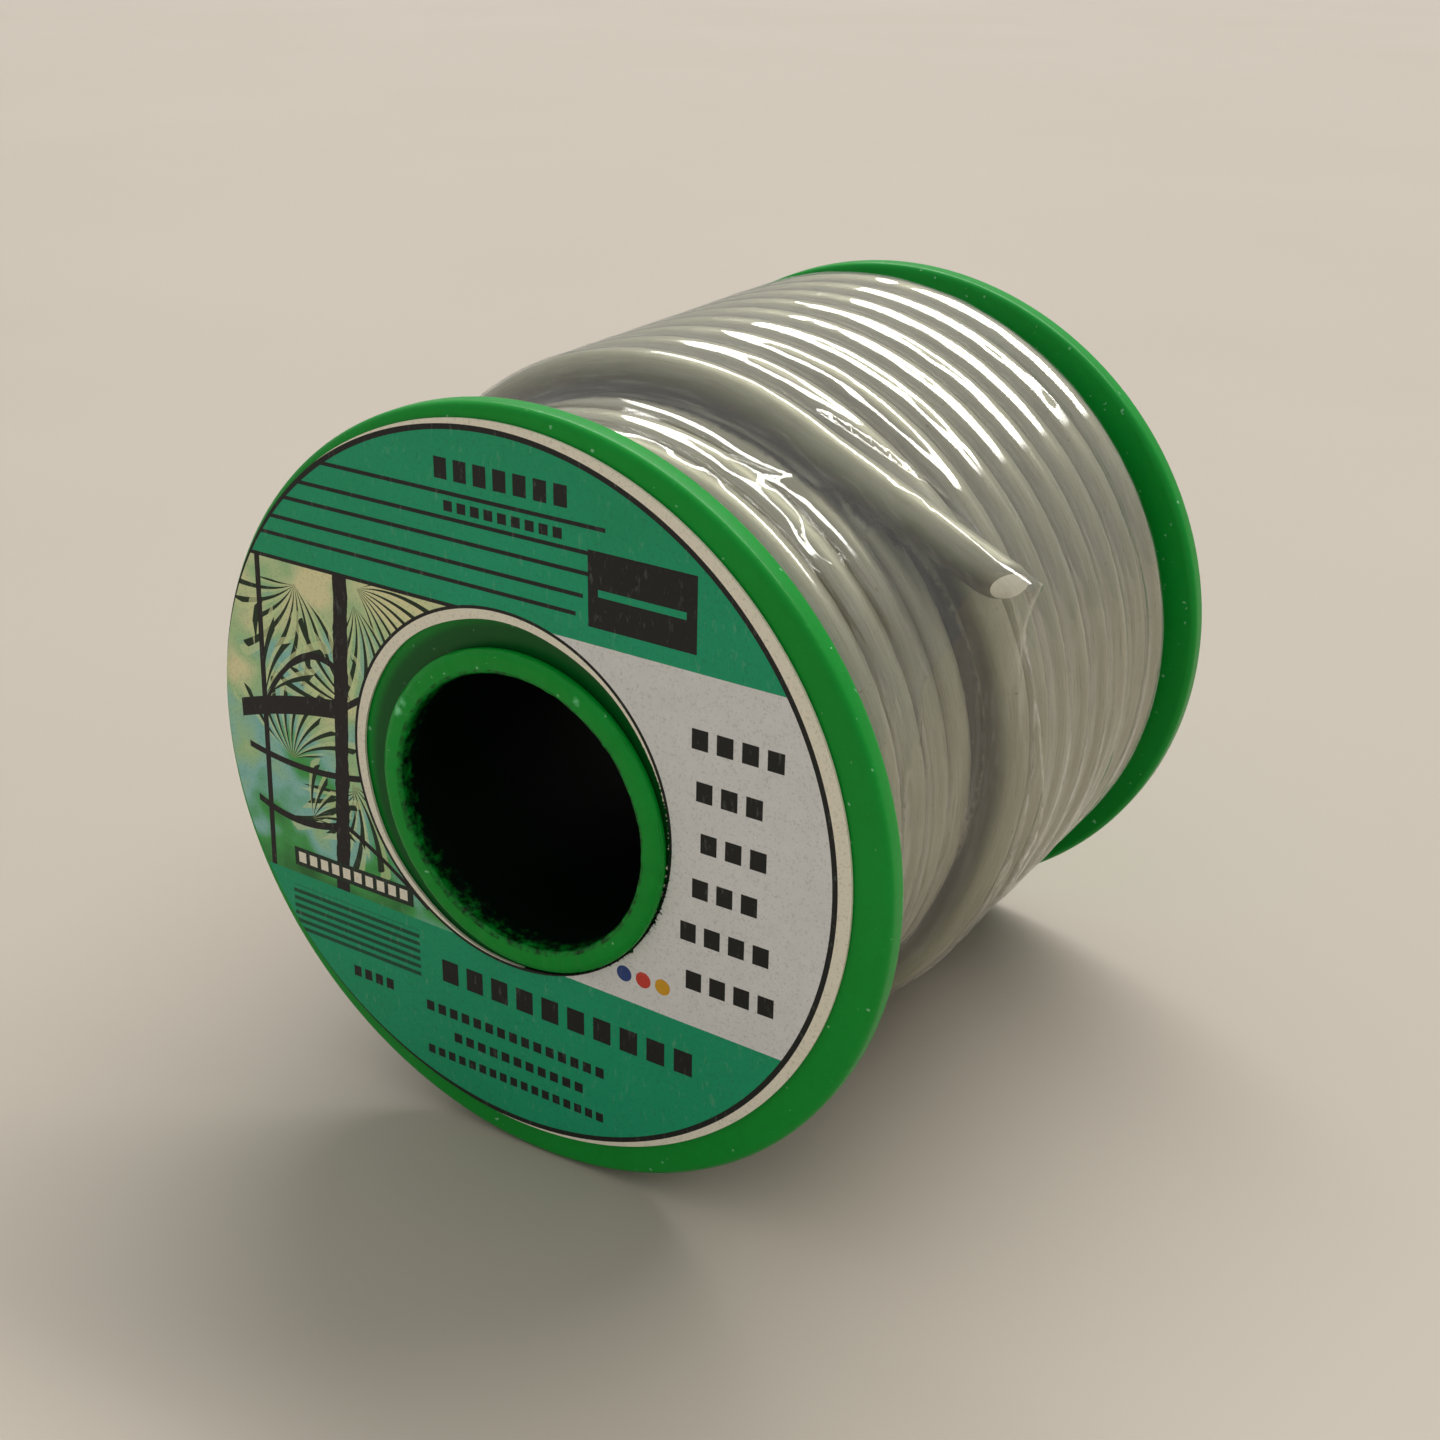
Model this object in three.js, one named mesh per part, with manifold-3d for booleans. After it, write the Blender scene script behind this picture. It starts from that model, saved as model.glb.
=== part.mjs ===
// Solder wire spool, lying on its two rims. Millimetres, +Z up.
// The spool's axis runs along Y, the labelled end faces -Y, and the rims touch z = 0.
import * as THREE from 'three';
import { mergeVertices } from 'three/addons/utils/BufferGeometryUtils.js';
import Module from 'manifold-3d';

const wasm = await Module();
wasm.setup();

// Driving dimensions
const wire_diameter = 3.175; // one eighth of an inch
const flange_radius = 28.75;
const flange_thickness = 2.0;
const faces_apart = 55.0; // between the flanges' outer faces
const bore_radius = 10.35;
const hub_radius = 13.0;
const spigot_radius = 11.2;
const lip_radius = 12.1;
const lip_height = 1.2; // how far the hub's ends stand out of the flanges
const rim_rounding = 0.55;
const lip_rounding = 0.6;
const full_layers = 4;
const layer_pitch = 2.8;
const label_outer_radius = 27.05;
const label_hole_radius = 13.3;
const label_offset = { x: -1.0, z: 0.55 }; // it was stuck on off centre
const label_thickness = 0.2;
const film_thickness = 0.25;
const clearance = 0.3; // between pieces that touch on the real spool
const segments = 64; // round the axis, with one flat at the bottom

// Worked out from them
const face_y = faces_apart / 2;
const inner_y = face_y - flange_thickness;
const lip_y = face_y + lip_height;
const axis_height = flange_radius * Math.cos(Math.PI / segments);
const wire_radius = wire_diameter / 2;
const winding_inner_radius = hub_radius + clearance;
const winding_end_y = inner_y - clearance;
const layerRadius = (layer) => winding_inner_radius + wire_radius + (layer - 1) * layer_pitch;
const low_crest = layerRadius(full_layers) + wire_radius;
const top_radius = layerRadius(full_layers + 1); // centre line of the unfinished top layer
const high_crest = top_radius + wire_radius;

// The top layer stops short of both flanges, and its last turn leaves it as a straight tail
const top_front_y = -12.1;
const top_back_y = 23.2;
const tail_leaves_at = THREE.MathUtils.degToRad(58); // measured from +X towards +Z
const tail_start_y = -10.4;
const tail_slope = 0.24; // how far it drifts along the axis for each unit round the spool
const tail_run = 14.3;

// Materials, one for each piece
const green = () => new THREE.MeshStandardMaterial({ color: 0x00782a, roughness: 0.38, metalness: 0 });
const paper = () => new THREE.MeshStandardMaterial({ color: 0xb9bba8, roughness: 0.75, metalness: 0 });
const solder = () => new THREE.MeshStandardMaterial({ color: 0xa3a296, roughness: 0.35, metalness: 0.9 });
const clear = () => new THREE.MeshStandardMaterial({
  color: 0xe6e8e2, roughness: 0.15, metalness: 0, transparent: true, opacity: 0.3,
});

// A round stretch of an outline, in a plane of radius and height, angles in degrees
function arc(radius, y, rounding, from, to, steps = 3) {
  const points = [];
  for (let i = 0; i <= steps; i++) {
    const angle = THREE.MathUtils.degToRad(from + ((to - from) * i) / steps);
    points.push([radius + rounding * Math.cos(angle), y + rounding * Math.sin(angle)]);
  }
  return points;
}

// A body of revolution about Y from a closed outline of [radius, y] points
function turned(outline) {
  const points = [...outline, outline[0]].map(([radius, y]) => new THREE.Vector2(radius, y));
  return new THREE.LatheGeometry(points, segments, Math.PI / segments);
}

function mirrored(outline) {
  return outline.map(([radius, y]) => [radius, -y]).reverse();
}

function toSolid(geometry) {
  const bare = geometry.clone();
  bare.deleteAttribute('normal');
  bare.deleteAttribute('uv');
  const welded = mergeVertices(bare, 1e-4);
  return new wasm.Manifold(new wasm.Mesh({
    numProp: 3,
    vertProperties: new Float32Array(welded.attributes.position.array),
    triVerts: new Uint32Array(welded.index.array),
  }));
}

function toGeometry(solid) {
  const mesh = solid.getMesh();
  const geometry = new THREE.BufferGeometry();
  geometry.setAttribute('position', new THREE.BufferAttribute(mesh.vertProperties, 3));
  geometry.setIndex(new THREE.BufferAttribute(mesh.triVerts, 1));
  geometry.computeVertexNormals();
  return geometry;
}

// One flange: a flat disc with a rounded rim and a hole for the hub's spigot
function flangeOutline() {
  const hole = spigot_radius + clearance;
  const rim = flange_radius - rim_rounding;
  return [
    [hole, inner_y],
    ...arc(rim, inner_y + rim_rounding, rim_rounding, -90, 0),
    ...arc(rim, face_y - rim_rounding, rim_rounding, 0, 90),
    [hole, face_y],
  ];
}

// Half of the hub's outline: body, spigot through the flange, and the lip rolled over it
function hubEnd() {
  const bore_edge = 0.3;
  return [
    [hub_radius, inner_y - clearance],
    [spigot_radius, inner_y - clearance],
    [spigot_radius, face_y + clearance],
    [lip_radius, face_y + clearance],
    ...arc(lip_radius - lip_rounding, lip_y - lip_rounding, lip_rounding, 0, 90),
    [bore_radius + bore_edge, lip_y],
    [bore_radius, lip_y - bore_edge],
  ];
}

function hubGeometry() {
  return turned([...mirrored(hubEnd()), ...hubEnd()]);
}

function labelGeometry() {
  const back_y = -face_y - clearance / 3;
  const front_y = back_y - label_thickness;
  return turned([
    [label_hole_radius, front_y],
    [label_outer_radius, front_y],
    [label_outer_radius, back_y],
    [label_hole_radius, back_y],
  ]);
}

// The straight end of the wire: tangent to the top layer where it leaves, and cut square
function tailPath(before, after) {
  const start = new THREE.Vector3(
    top_radius * Math.cos(tail_leaves_at), tail_start_y, top_radius * Math.sin(tail_leaves_at));
  const along = new THREE.Vector3(Math.sin(tail_leaves_at), tail_slope, -Math.cos(tail_leaves_at));
  const first = start.clone().addScaledVector(along, -before);
  const last = start.clone().addScaledVector(along, tail_run + after);
  return new THREE.LineCurve3(first, last);
}

function tube(path, radius, sides, steps) {
  const section = new THREE.Shape();
  for (let i = 0; i < sides; i++) {
    const angle = (2 * Math.PI * i) / sides;
    section.lineTo(radius * Math.cos(angle), radius * Math.sin(angle));
  }
  return new THREE.ExtrudeGeometry(section, { extrudePath: path, steps, bevelEnabled: false });
}

// The wound wire as one ring: four full layers, then a top layer that stops at a step
function windingGeometry() {
  const ring = turned([
    [winding_inner_radius, -winding_end_y],
    [low_crest, -winding_end_y],
    [low_crest, top_front_y - wire_radius / 2],
    [high_crest, top_front_y],
    [high_crest, top_back_y],
    [low_crest, winding_end_y],
    [winding_inner_radius, winding_end_y],
  ]);
  const groove = tube(tailPath(clearance, 2 * wire_diameter), wire_radius + clearance, 8, 1);
  return toGeometry(toSolid(ring).subtract(toSolid(groove)));
}

function tailGeometry() {
  return tube(tailPath(0, 0), wire_radius, 8, 3);
}

// How far the tail lifts the film off the winding, at an angle and a place along Y. The film
// follows the tail's straight crest, then runs straight from the cut end back to the winding.
function tailLift(angle, y, film_radius) {
  const tent_margin = 0.15;
  const tent_half_width = 8.5;
  const crest = film_radius + tent_margin;
  const peak_turn = Math.atan(tail_run / high_crest);
  const peak_angle = tail_leaves_at - peak_turn;
  const touch_angle = peak_angle - Math.acos((film_radius * Math.cos(peak_turn)) / crest);
  if (angle > tail_leaves_at || angle < touch_angle) return 0;
  const turn = Math.min(tail_leaves_at - angle, peak_turn);
  const taut = angle < peak_angle ? film_radius / Math.cos(angle - touch_angle) : crest / Math.cos(turn);
  const tail_y = tail_start_y + tail_slope * top_radius * Math.tan(turn);
  const aside = Math.max(0, Math.abs(y - tail_y) - wire_diameter);
  return (taut - film_radius) * Math.max(0, 1 - aside / tent_half_width);
}

// Clear film drawn round the winding, following its step and lifted by the tail
function filmGeometry() {
  const film_low = low_crest + clearance;
  const film_high = high_crest + clearance;
  const high_front_y = top_front_y - wire_radius / 2;
  const high_back_y = top_back_y + clearance;
  const bands = 11;
  const path = [[film_low, -winding_end_y], [film_low, top_front_y - wire_diameter]];
  for (let i = 0; i <= bands; i++) {
    path.push([film_high, high_front_y + ((high_back_y - high_front_y) * i) / bands]);
  }
  path.push([film_low, winding_end_y]);
  const outside = path.map(([radius, y]) => [radius + film_thickness, y]).reverse();
  const geometry = turned([...path, ...outside].reverse());
  const position = geometry.attributes.position;
  const point = new THREE.Vector3();
  for (let i = 0; i < position.count; i++) {
    point.fromBufferAttribute(position, i);
    const radius = Math.hypot(point.x, point.z);
    const lifted = radius + tailLift(Math.atan2(point.z, point.x), point.y, film_high);
    position.setXYZ(i, (point.x * lifted) / radius, point.y, (point.z * lifted) / radius);
  }
  return geometry;
}

const spool = new THREE.Group();
spool.position.z = axis_height;

function addPiece(name, geometry, material, x = 0, z = 0) {
  const mesh = new THREE.Mesh(geometry, material);
  mesh.name = name;
  mesh.position.set(x, 0, z);
  spool.add(mesh);
}

addPiece('hub_tube', hubGeometry(), green());
addPiece('front_flange', turned(mirrored(flangeOutline())), green());
addPiece('rear_flange', turned(flangeOutline()), green());
addPiece('front_label', labelGeometry(), paper(), label_offset.x, label_offset.z);
addPiece('solder_winding', windingGeometry(), solder());
addPiece('solder_tail', tailGeometry(), solder());
addPiece('film_wrap', filmGeometry(), clear());

const object = new THREE.Group();
object.add(spool);
export default object;
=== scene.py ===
"""A spool of thick solder wire under clear film, lying on its rims, meshed around its CAD frame."""

import math

import bpy
import numpy as np
from mathutils import Euler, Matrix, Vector


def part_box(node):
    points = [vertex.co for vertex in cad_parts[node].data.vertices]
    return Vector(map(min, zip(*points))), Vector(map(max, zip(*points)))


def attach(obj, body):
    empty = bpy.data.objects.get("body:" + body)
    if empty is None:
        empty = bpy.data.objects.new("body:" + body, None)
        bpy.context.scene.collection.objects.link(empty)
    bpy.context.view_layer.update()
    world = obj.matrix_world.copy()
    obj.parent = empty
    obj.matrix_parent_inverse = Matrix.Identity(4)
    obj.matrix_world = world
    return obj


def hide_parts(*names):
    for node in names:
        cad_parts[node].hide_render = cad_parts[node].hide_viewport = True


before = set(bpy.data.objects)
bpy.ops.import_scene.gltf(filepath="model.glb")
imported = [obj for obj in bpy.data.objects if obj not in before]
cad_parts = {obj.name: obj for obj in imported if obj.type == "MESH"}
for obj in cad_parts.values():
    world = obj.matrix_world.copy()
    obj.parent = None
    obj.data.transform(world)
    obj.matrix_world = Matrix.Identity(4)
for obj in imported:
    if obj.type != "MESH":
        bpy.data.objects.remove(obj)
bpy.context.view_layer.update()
rng = np.random.default_rng(7)
MM = 0.001

# ---------------------------------------------------------------- sizes, worked out from the frame (metres)

front_low, front_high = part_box("front_flange")
hub_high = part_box("hub_tube")[1]
label_low, label_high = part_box("front_label")

flange_radius = (front_high.x - front_low.x) / 2
axis_height = (front_high.z + front_low.z) / 2
face_y = -front_low.y
inner_y = -front_high.y
lip_y = hub_high.y
spool_centre = Vector((0, 0, axis_height))
room_light = 0.40
ceiling_light = 0.25
softbox_light = 15.0
softbox_behind = 0.70

bore_radius = 10.35 * MM
hub_radius = 13.0 * MM
spigot_radius = 11.2 * MM
lip_radius = 12.1 * MM
lip_rounding = 0.6 * MM
bore_rounding = 0.35 * MM
rim_rounding = 0.55 * MM
gap = 0.3 * MM

label_centre = (label_low + label_high) / 2
label_radius = (label_high.x - label_low.x) / 2
label_hole_radius = 13.3 * MM
label_front_y = label_low.y
label_back_y = label_high.y

wire_radius = 3.175 / 2 * MM
film_edge_y = inner_y - gap


# ---------------------------------------------------------------- camera, light and floor

def add_camera():
    """The camera stands a little above the spool, on its front right."""
    view_azimuth = math.radians(32.54)
    view_elevation = math.radians(24.11)
    stand_azimuth = math.radians(32.05)
    stand_elevation = math.radians(22.96)
    stand_distance = 160.15 * MM
    data = bpy.data.cameras.new("camera")
    data.sensor_width = 36.0
    data.lens = 50.05
    data.clip_start = 0.005
    camera = bpy.data.objects.new("camera", data)
    level = stand_distance * math.cos(stand_elevation)
    camera.location = spool_centre + Vector((
        level * math.sin(stand_azimuth),
        -level * math.cos(stand_azimuth),
        stand_distance * math.sin(stand_elevation),
    ))
    camera.rotation_euler = Euler((math.pi / 2 - view_elevation, 0, view_azimuth))
    bpy.context.collection.objects.link(camera)
    bpy.context.scene.camera = camera


def add_room_light():
    """A pale even room with a long softbox overhead, a little behind the spool, which draws the streaks."""
    world = bpy.data.worlds.new("room")
    world.use_nodes = True
    nodes = world.node_tree.nodes
    links = world.node_tree.links

    def math_node(operation, first, second=0.0, third=0.0):
        node = nodes.new("ShaderNodeMath")
        node.operation = operation
        for socket, value in zip(node.inputs, (first, second, third)):
            if isinstance(value, bpy.types.NodeSocket):
                links.new(value, socket)
            else:
                socket.default_value = value
        return node.outputs[0]

    def soft_edge(value, low, high):
        node = nodes.new("ShaderNodeMapRange")
        node.interpolation_type = "SMOOTHSTEP"
        links.new(value, node.inputs["Value"])
        node.inputs["From Min"].default_value = low
        node.inputs["From Max"].default_value = high
        return node.outputs[0]

    direction = nodes.new("ShaderNodeTexCoord").outputs["Generated"]
    parts = nodes.new("ShaderNodeSeparateXYZ")
    links.new(direction, parts.inputs[0])
    height = math_node("MAXIMUM", parts.outputs[2], 0.001)
    along = math_node("DIVIDE", parts.outputs[0], height)
    across = math_node("DIVIDE", parts.outputs[1], height)
    off_along = math_node("ABSOLUTE", along)
    off_across = math_node("ABSOLUTE", math_node("SUBTRACT", across, softbox_behind))
    box = math_node("MULTIPLY", soft_edge(off_along, 0.95, 0.75), soft_edge(off_across, 0.13, 0.10))
    ceiling = soft_edge(parts.outputs[2], -0.2, 1.0)
    room = math_node("MULTIPLY_ADD", ceiling, ceiling_light, room_light)
    strength = math_node("MULTIPLY_ADD", box, softbox_light, room)
    background = nodes["Background"]
    background.inputs["Color"].default_value = (1.0, 0.98, 0.95, 1)
    links.new(strength, background.inputs["Strength"])
    bpy.context.scene.world = world
    bpy.context.scene.view_settings.view_transform = "Standard"


# ---------------------------------------------------------------- shader helper

class Shader:
    """One node material with a Principled surface, and short calls for the nodes around it."""

    def __init__(self, name):
        self.material = bpy.data.materials.new(name)
        self.material.use_nodes = True
        self.nodes = self.material.node_tree.nodes
        self.links = self.material.node_tree.links
        self.surface = self.nodes["Principled BSDF"]
        self.output = self.nodes["Material Output"]

    def put(self, socket, value):
        if isinstance(value, bpy.types.NodeSocket):
            self.links.new(value, socket)
        elif isinstance(value, tuple) and len(value) == 3 and socket.type == "RGBA":
            socket.default_value = (*value, 1)
        else:
            socket.default_value = value

    def add(self, kind, settings=None, **sockets):
        node = self.nodes.new(kind)
        for key, value in (settings or {}).items():
            setattr(node, key, value)
        for key, value in sockets.items():
            self.put(node.inputs[key.replace("_", " ")], value)
        return node

    def math(self, operation, first, second=0.0, third=0.0):
        node = self.nodes.new("ShaderNodeMath")
        node.operation = operation
        for socket, value in zip(node.inputs, (first, second, third)):
            self.put(socket, value)
        return node.outputs[0]

    def mix(self, factor, under, over):
        node = self.nodes.new("ShaderNodeMix")
        node.data_type = "RGBA"
        self.put(node.inputs[0], factor)
        self.put(node.inputs[6], under)
        self.put(node.inputs[7], over)
        return node.outputs[2]

    def ramp(self, factor, stops):
        node = self.nodes.new("ShaderNodeValToRGB")
        self.put(node.inputs[0], factor)
        elements = node.color_ramp.elements
        while len(elements) < len(stops):
            elements.new(0.5)
        for element, (position, colour) in zip(elements, stops):
            element.position = position
            element.color = (*colour, 1)
        return node.outputs[0]

    def scaled(self, vector, scale):
        node = self.add("ShaderNodeMapping", Vector=vector, Scale=scale)
        return node.outputs[0]

    def noise(self, vector, scale, detail=2.0, roughness=0.5):
        node = self.add("ShaderNodeTexNoise", Vector=vector, Scale=scale, Detail=detail, Roughness=roughness)
        return node.outputs[0]

    def between(self, value, low, high):
        """1 where the value lies between low and high, or else 0."""
        return self.math("COMPARE", value, (low + high) / 2, (high - low) / 2)

    def smooth(self, value, low, high):
        node = self.add("ShaderNodeMapRange", {"interpolation_type": "SMOOTHSTEP"}, Value=value)
        self.put(node.inputs["From Min"], low)
        self.put(node.inputs["From Max"], high)
        return node.outputs[0]

    def bump(self, height, strength, distance):
        node = self.add("ShaderNodeBump", Height=height, Strength=strength, Distance=distance)
        self.put(self.surface.inputs["Normal"], node.outputs[0])

    def set(self, **sockets):
        for key, value in sockets.items():
            self.put(self.surface.inputs[key.replace("_", " ")], value)


def linear(red, green, blue):
    """A screen colour of 0 to 255 as linear light."""
    shares = [level / 255 for level in (red, green, blue)]
    return tuple(((share + 0.055) / 1.055) ** 2.4 if share > 0.0404 else share / 12.92 for share in shares)


# ---------------------------------------------------------------- mesh helpers

def add_mesh(name, vertices, faces, material, nodes):
    """A smooth-shaded mesh object at the origin that rides on the spool and stands for some CAD nodes."""
    mesh = bpy.data.meshes.new(name)
    mesh.from_pydata([tuple(v) for v in vertices], [], faces)
    mesh.update()
    mesh.polygons.foreach_set("use_smooth", [True] * len(mesh.polygons))
    piece = bpy.data.objects.new(name, mesh)
    bpy.context.collection.objects.link(piece)
    piece.data.materials.append(material)
    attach(piece, "root")
    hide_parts(*nodes)
    return piece


def grid_faces(rows, columns, close_rows, close_columns, flip=False):
    """Quads over a grid of points, numbered row by row."""
    faces = []
    for row in range(rows if close_rows else rows - 1):
        below = (row + 1) % rows
        for column in range(columns if close_columns else columns - 1):
            beside = (column + 1) % columns
            quad = (row * columns + column, row * columns + beside,
                    below * columns + beside, below * columns + column)
            faces.append(quad[::-1] if flip else quad)
    return faces


def arc(centre_radius, centre_y, radius, start, end, steps):
    """Points of a circular arc in the (radius, y) plane, angles in degrees."""
    points = []
    for step in range(steps + 1):
        angle = math.radians(start + (end - start) * step / steps)
        points.append((centre_radius + radius * math.cos(angle), centre_y + radius * math.sin(angle)))
    return points


def turned(name, outline, material, nodes, segments=240, shape=None):
    """A closed (radius, y) outline turned about the spool's axis. If given, shape moves each point of it."""
    vertices = []
    for column in range(segments):
        angle = 2 * math.pi * column / segments
        for radius, y in outline:
            if shape:
                radius, y = shape(angle, radius, y)
            vertices.append((radius * math.cos(angle), y, axis_height + radius * math.sin(angle)))
    faces = grid_faces(segments, len(outline), True, True)
    piece = add_mesh(name, vertices, faces, material, nodes)
    piece.data.set_sharp_from_angle(angle=math.radians(40))
    return piece


# ---------------------------------------------------------------- the solder wire

first_layer_radius = 14.8875 * MM
layer_pitch = 2.8 * MM
full_layers = 4
layer_turns = 13
layer_revolutions = 13.5
layer_end_y = 23.6 * MM
fourth_front_y = -22.1 * MM
top_radius = 26.0875 * MM
top_start_y = 21.65 * MM
top_pitch = 3.75 * MM
start_angle = 166.0
tail_leaves_at = 61.0
tail_start_y = -9.3 * MM
tail_slope = 0.16
tail_run = 17.1 * MM
lopsided = 0.9 * MM
lopsided_toward = math.radians(125)
jog_from = -60.0
jog_width = 100.0
wire_steps = 72
wire_sides = 18

# the last turn: (degrees wound since one turn before the tail leaves the winding, y in mm)
last_turns = [
    (-16, -5.2), (4, -5.5), (19, -4.7), (32, -4.2), (49, -3.9), (67, -4.4), (102, -5.8), (154, -7.3),
    (222, -8.1), (262, -8.5), (312, -8.7), (342, -9.3), (360, -9.3),
]

coil_revolutions = full_layers * layer_revolutions
tail_revolution = coil_revolutions + 8 + (start_angle - tail_leaves_at) / 360
tail_turned = math.radians(tail_leaves_at) - lopsided_toward
tail_radius = top_radius + lopsided * math.cos(tail_turned)
tail_lift = lopsided * math.sin(tail_turned) / tail_radius
tail_sweep = math.atan(tail_run / tail_radius)


def turns_done(revolution):
    """How many one-pitch steps the winding has taken, each a short jog at the same place of a turn."""
    phase = revolution + (jog_from - start_angle) / 360
    whole = np.floor(phase)
    part = np.clip((phase - whole) / (jog_width / 360), 0, 1)
    return whole + part * part * (3 - 2 * part)


def wobble(revolution):
    """The small unevenness of hand-fed wire."""
    return 0.10 * MM * np.sin(revolution * 5.1) * np.sin(revolution * 1.37 + 0.5)


def wire_place(revolution):
    """Angle, y and radius of the wire's centre after so many revolutions from its inner end."""
    revolution = np.asarray(revolution, float)
    angle = np.radians(start_angle) - 2 * np.pi * revolution
    layer = np.clip(np.floor(revolution / layer_revolutions), 0, full_layers)
    into = revolution - layer * layer_revolutions
    steps = turns_done(layer * layer_revolutions + np.minimum(into, layer_turns))
    steps = steps - turns_done(layer * layer_revolutions)
    fourth = layer == full_layers - 1
    top = layer == full_layers
    low_end = np.where(fourth, fourth_front_y, -layer_end_y)
    rising = layer % 2 == 1
    travel = (layer_end_y - low_end) * steps / layer_turns
    y = np.where(rising, low_end + travel, layer_end_y - travel)
    climb = np.clip((into - layer_turns) / (layer_revolutions - layer_turns), 0, 1)
    climb = climb * climb * (3 - 2 * climb)
    built_up = np.clip((revolution - layer_revolutions) / (coil_revolutions - layer_revolutions), 0, 1)
    radius = first_layer_radius + layer_pitch * (layer + climb * ~top)
    radius = radius + lopsided * built_up * np.cos(angle - lopsided_toward)
    y = np.where(fourth, y + (top_start_y - layer_end_y) * climb, y)
    top_y = top_start_y - top_pitch * steps + wobble(revolution)
    y = np.where(top, top_y, y)
    wound = (revolution - tail_revolution + 1) * 360
    degrees = [point[0] for point in last_turns]
    heights = [point[1] * MM for point in last_turns]
    last_y = sum(np.interp(wound + shift, degrees, heights) for shift in (-8, -4, 0, 4, 8)) / 5
    blend = np.clip((wound + 60) / 60, 0, 1)
    y = np.where(top, y + (last_y - y) * blend * blend * (3 - 2 * blend), y)
    past = np.clip(revolution - tail_revolution, 0, None) * 2 * np.pi
    radius = np.where(past > 0, tail_radius / (np.cos(past) - tail_lift * np.sin(past)), radius)
    y = np.where(past > 0, tail_start_y + tail_slope * tail_radius * np.tan(past), y)
    return angle, y, radius


def wire_path():
    """Points along the wire's centre, from its inner end on the hub to the cut end of its tail."""
    revolutions = np.append(
        np.arange(0, tail_revolution, 1 / wire_steps),
        np.linspace(tail_revolution, tail_revolution + tail_sweep / (2 * np.pi), 10),
    )
    angle, y, radius = wire_place(revolutions)
    return revolutions, np.stack([radius * np.cos(angle), y, axis_height + radius * np.sin(angle)], axis=1)


def tube_mesh(path, radii, sides):
    """Rings of points around a path, and the path's tangents."""
    tangent = np.gradient(path, axis=0)
    tangent /= np.linalg.norm(tangent, axis=1)[:, None]
    outward = path - np.array([0, 0, axis_height])
    outward[:, 1] = 0
    outward -= (outward * tangent).sum(axis=1)[:, None] * tangent
    outward /= np.linalg.norm(outward, axis=1)[:, None]
    across = np.cross(tangent, outward)
    around = np.linspace(0, 2 * np.pi, sides, endpoint=False)
    rings = (path[:, None, :]
             + radii[:, None, None] * (np.cos(around)[None, :, None] * outward[:, None, :]
                                       + np.sin(around)[None, :, None] * across[:, None, :]))
    return rings, tangent


def solder_material():
    """Drawn tin alloy: lengthways streaks, painted brown shade between the turns and along the step, a bright
    cut.
    """
    shader = Shader("solder")
    along = shader.add("ShaderNodeUVMap").outputs[0]
    place = shader.add("ShaderNodeTexCoord").outputs["Object"]
    drawn = shader.noise(shader.scaled(along, (0.35, 16, 1)), 6, 4, 0.6)
    cloud = shader.noise(place, 160, 3, 0.6)
    pits = shader.smooth(shader.noise(place, 2600, 2, 0.7), 0.66, 0.78)
    base = shader.mix(cloud, linear(152, 152, 134), linear(172, 172, 154))
    streaked = shader.mix(shader.smooth(drawn, 0.45, 0.75), base, linear(138, 132, 106))
    flank = shader.add("ShaderNodeSeparateXYZ", Vector=along).outputs[1]
    # painted shade: the turns' flanks and undersides, where they meet their neighbours, are darkened brown
    valley_shade = shader.smooth(shader.math("MULTIPLY_ADD", cloud, 0.16, flank), 0.84, 0.52)
    valley_shaded = shader.mix(shader.math("MULTIPLY", valley_shade, 0.85), streaked, linear(84, 72, 46))
    step_painted_shade = shader.add("ShaderNodeAttribute", {"attribute_name": "step_painted_shade"}).outputs["Fac"]
    # painted shade: dark speckled brown on the fourth layer along the front edge of the top layer
    speckle = shader.noise(place, 1300, 3, 0.7)
    speckled = shader.smooth(shader.math("MULTIPLY_ADD", speckle, 0.9, step_painted_shade), 0.62, 1.05)
    step_shaded = shader.mix(shader.math("MULTIPLY", speckled, 0.93), valley_shaded, linear(34, 24, 10))
    fresh = shader.math("GREATER_THAN", flank, 1.5)
    pitted = shader.mix(pits, step_shaded, linear(120, 112, 92))
    shader.set(Base_Color=shader.mix(fresh, pitted, linear(246, 246, 240)), Metallic=0.6)
    shader.set(Roughness=shader.math("MULTIPLY_ADD", drawn, 0.25, 0.34))
    shader.bump(shader.math("MULTIPLY_ADD", pits, -0.6, drawn), 0.2, 0.00006)
    return shader.material


def step_painted_shade(revolutions, surface_y):
    """Painted shade: 1 on the fourth layer along the front edge of the layer above it, falling to 0 beside
    that line.
    """
    above = revolutions + np.floor(tail_revolution - revolutions)
    _, edge_y, _ = wire_place(above)
    _, tail_y, _ = wire_place(above + 1)
    under_tail = (above - (tail_revolution - 1)) / (20 / 360)
    edge_y = np.where(under_tail < 1, tail_y + (edge_y - tail_y) * under_tail, edge_y)
    clear = (edge_y - wire_radius)[:, None] - surface_y
    near = np.exp(-(np.clip(np.abs(clear - 0.2 * MM) - 0.15 * MM, 0, None) / (0.5 * MM)) ** 2)
    fourth = (revolutions > (full_layers - 1) * layer_revolutions) & (revolutions < coil_revolutions - 0.5)
    return near * fourth[:, None]


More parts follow.
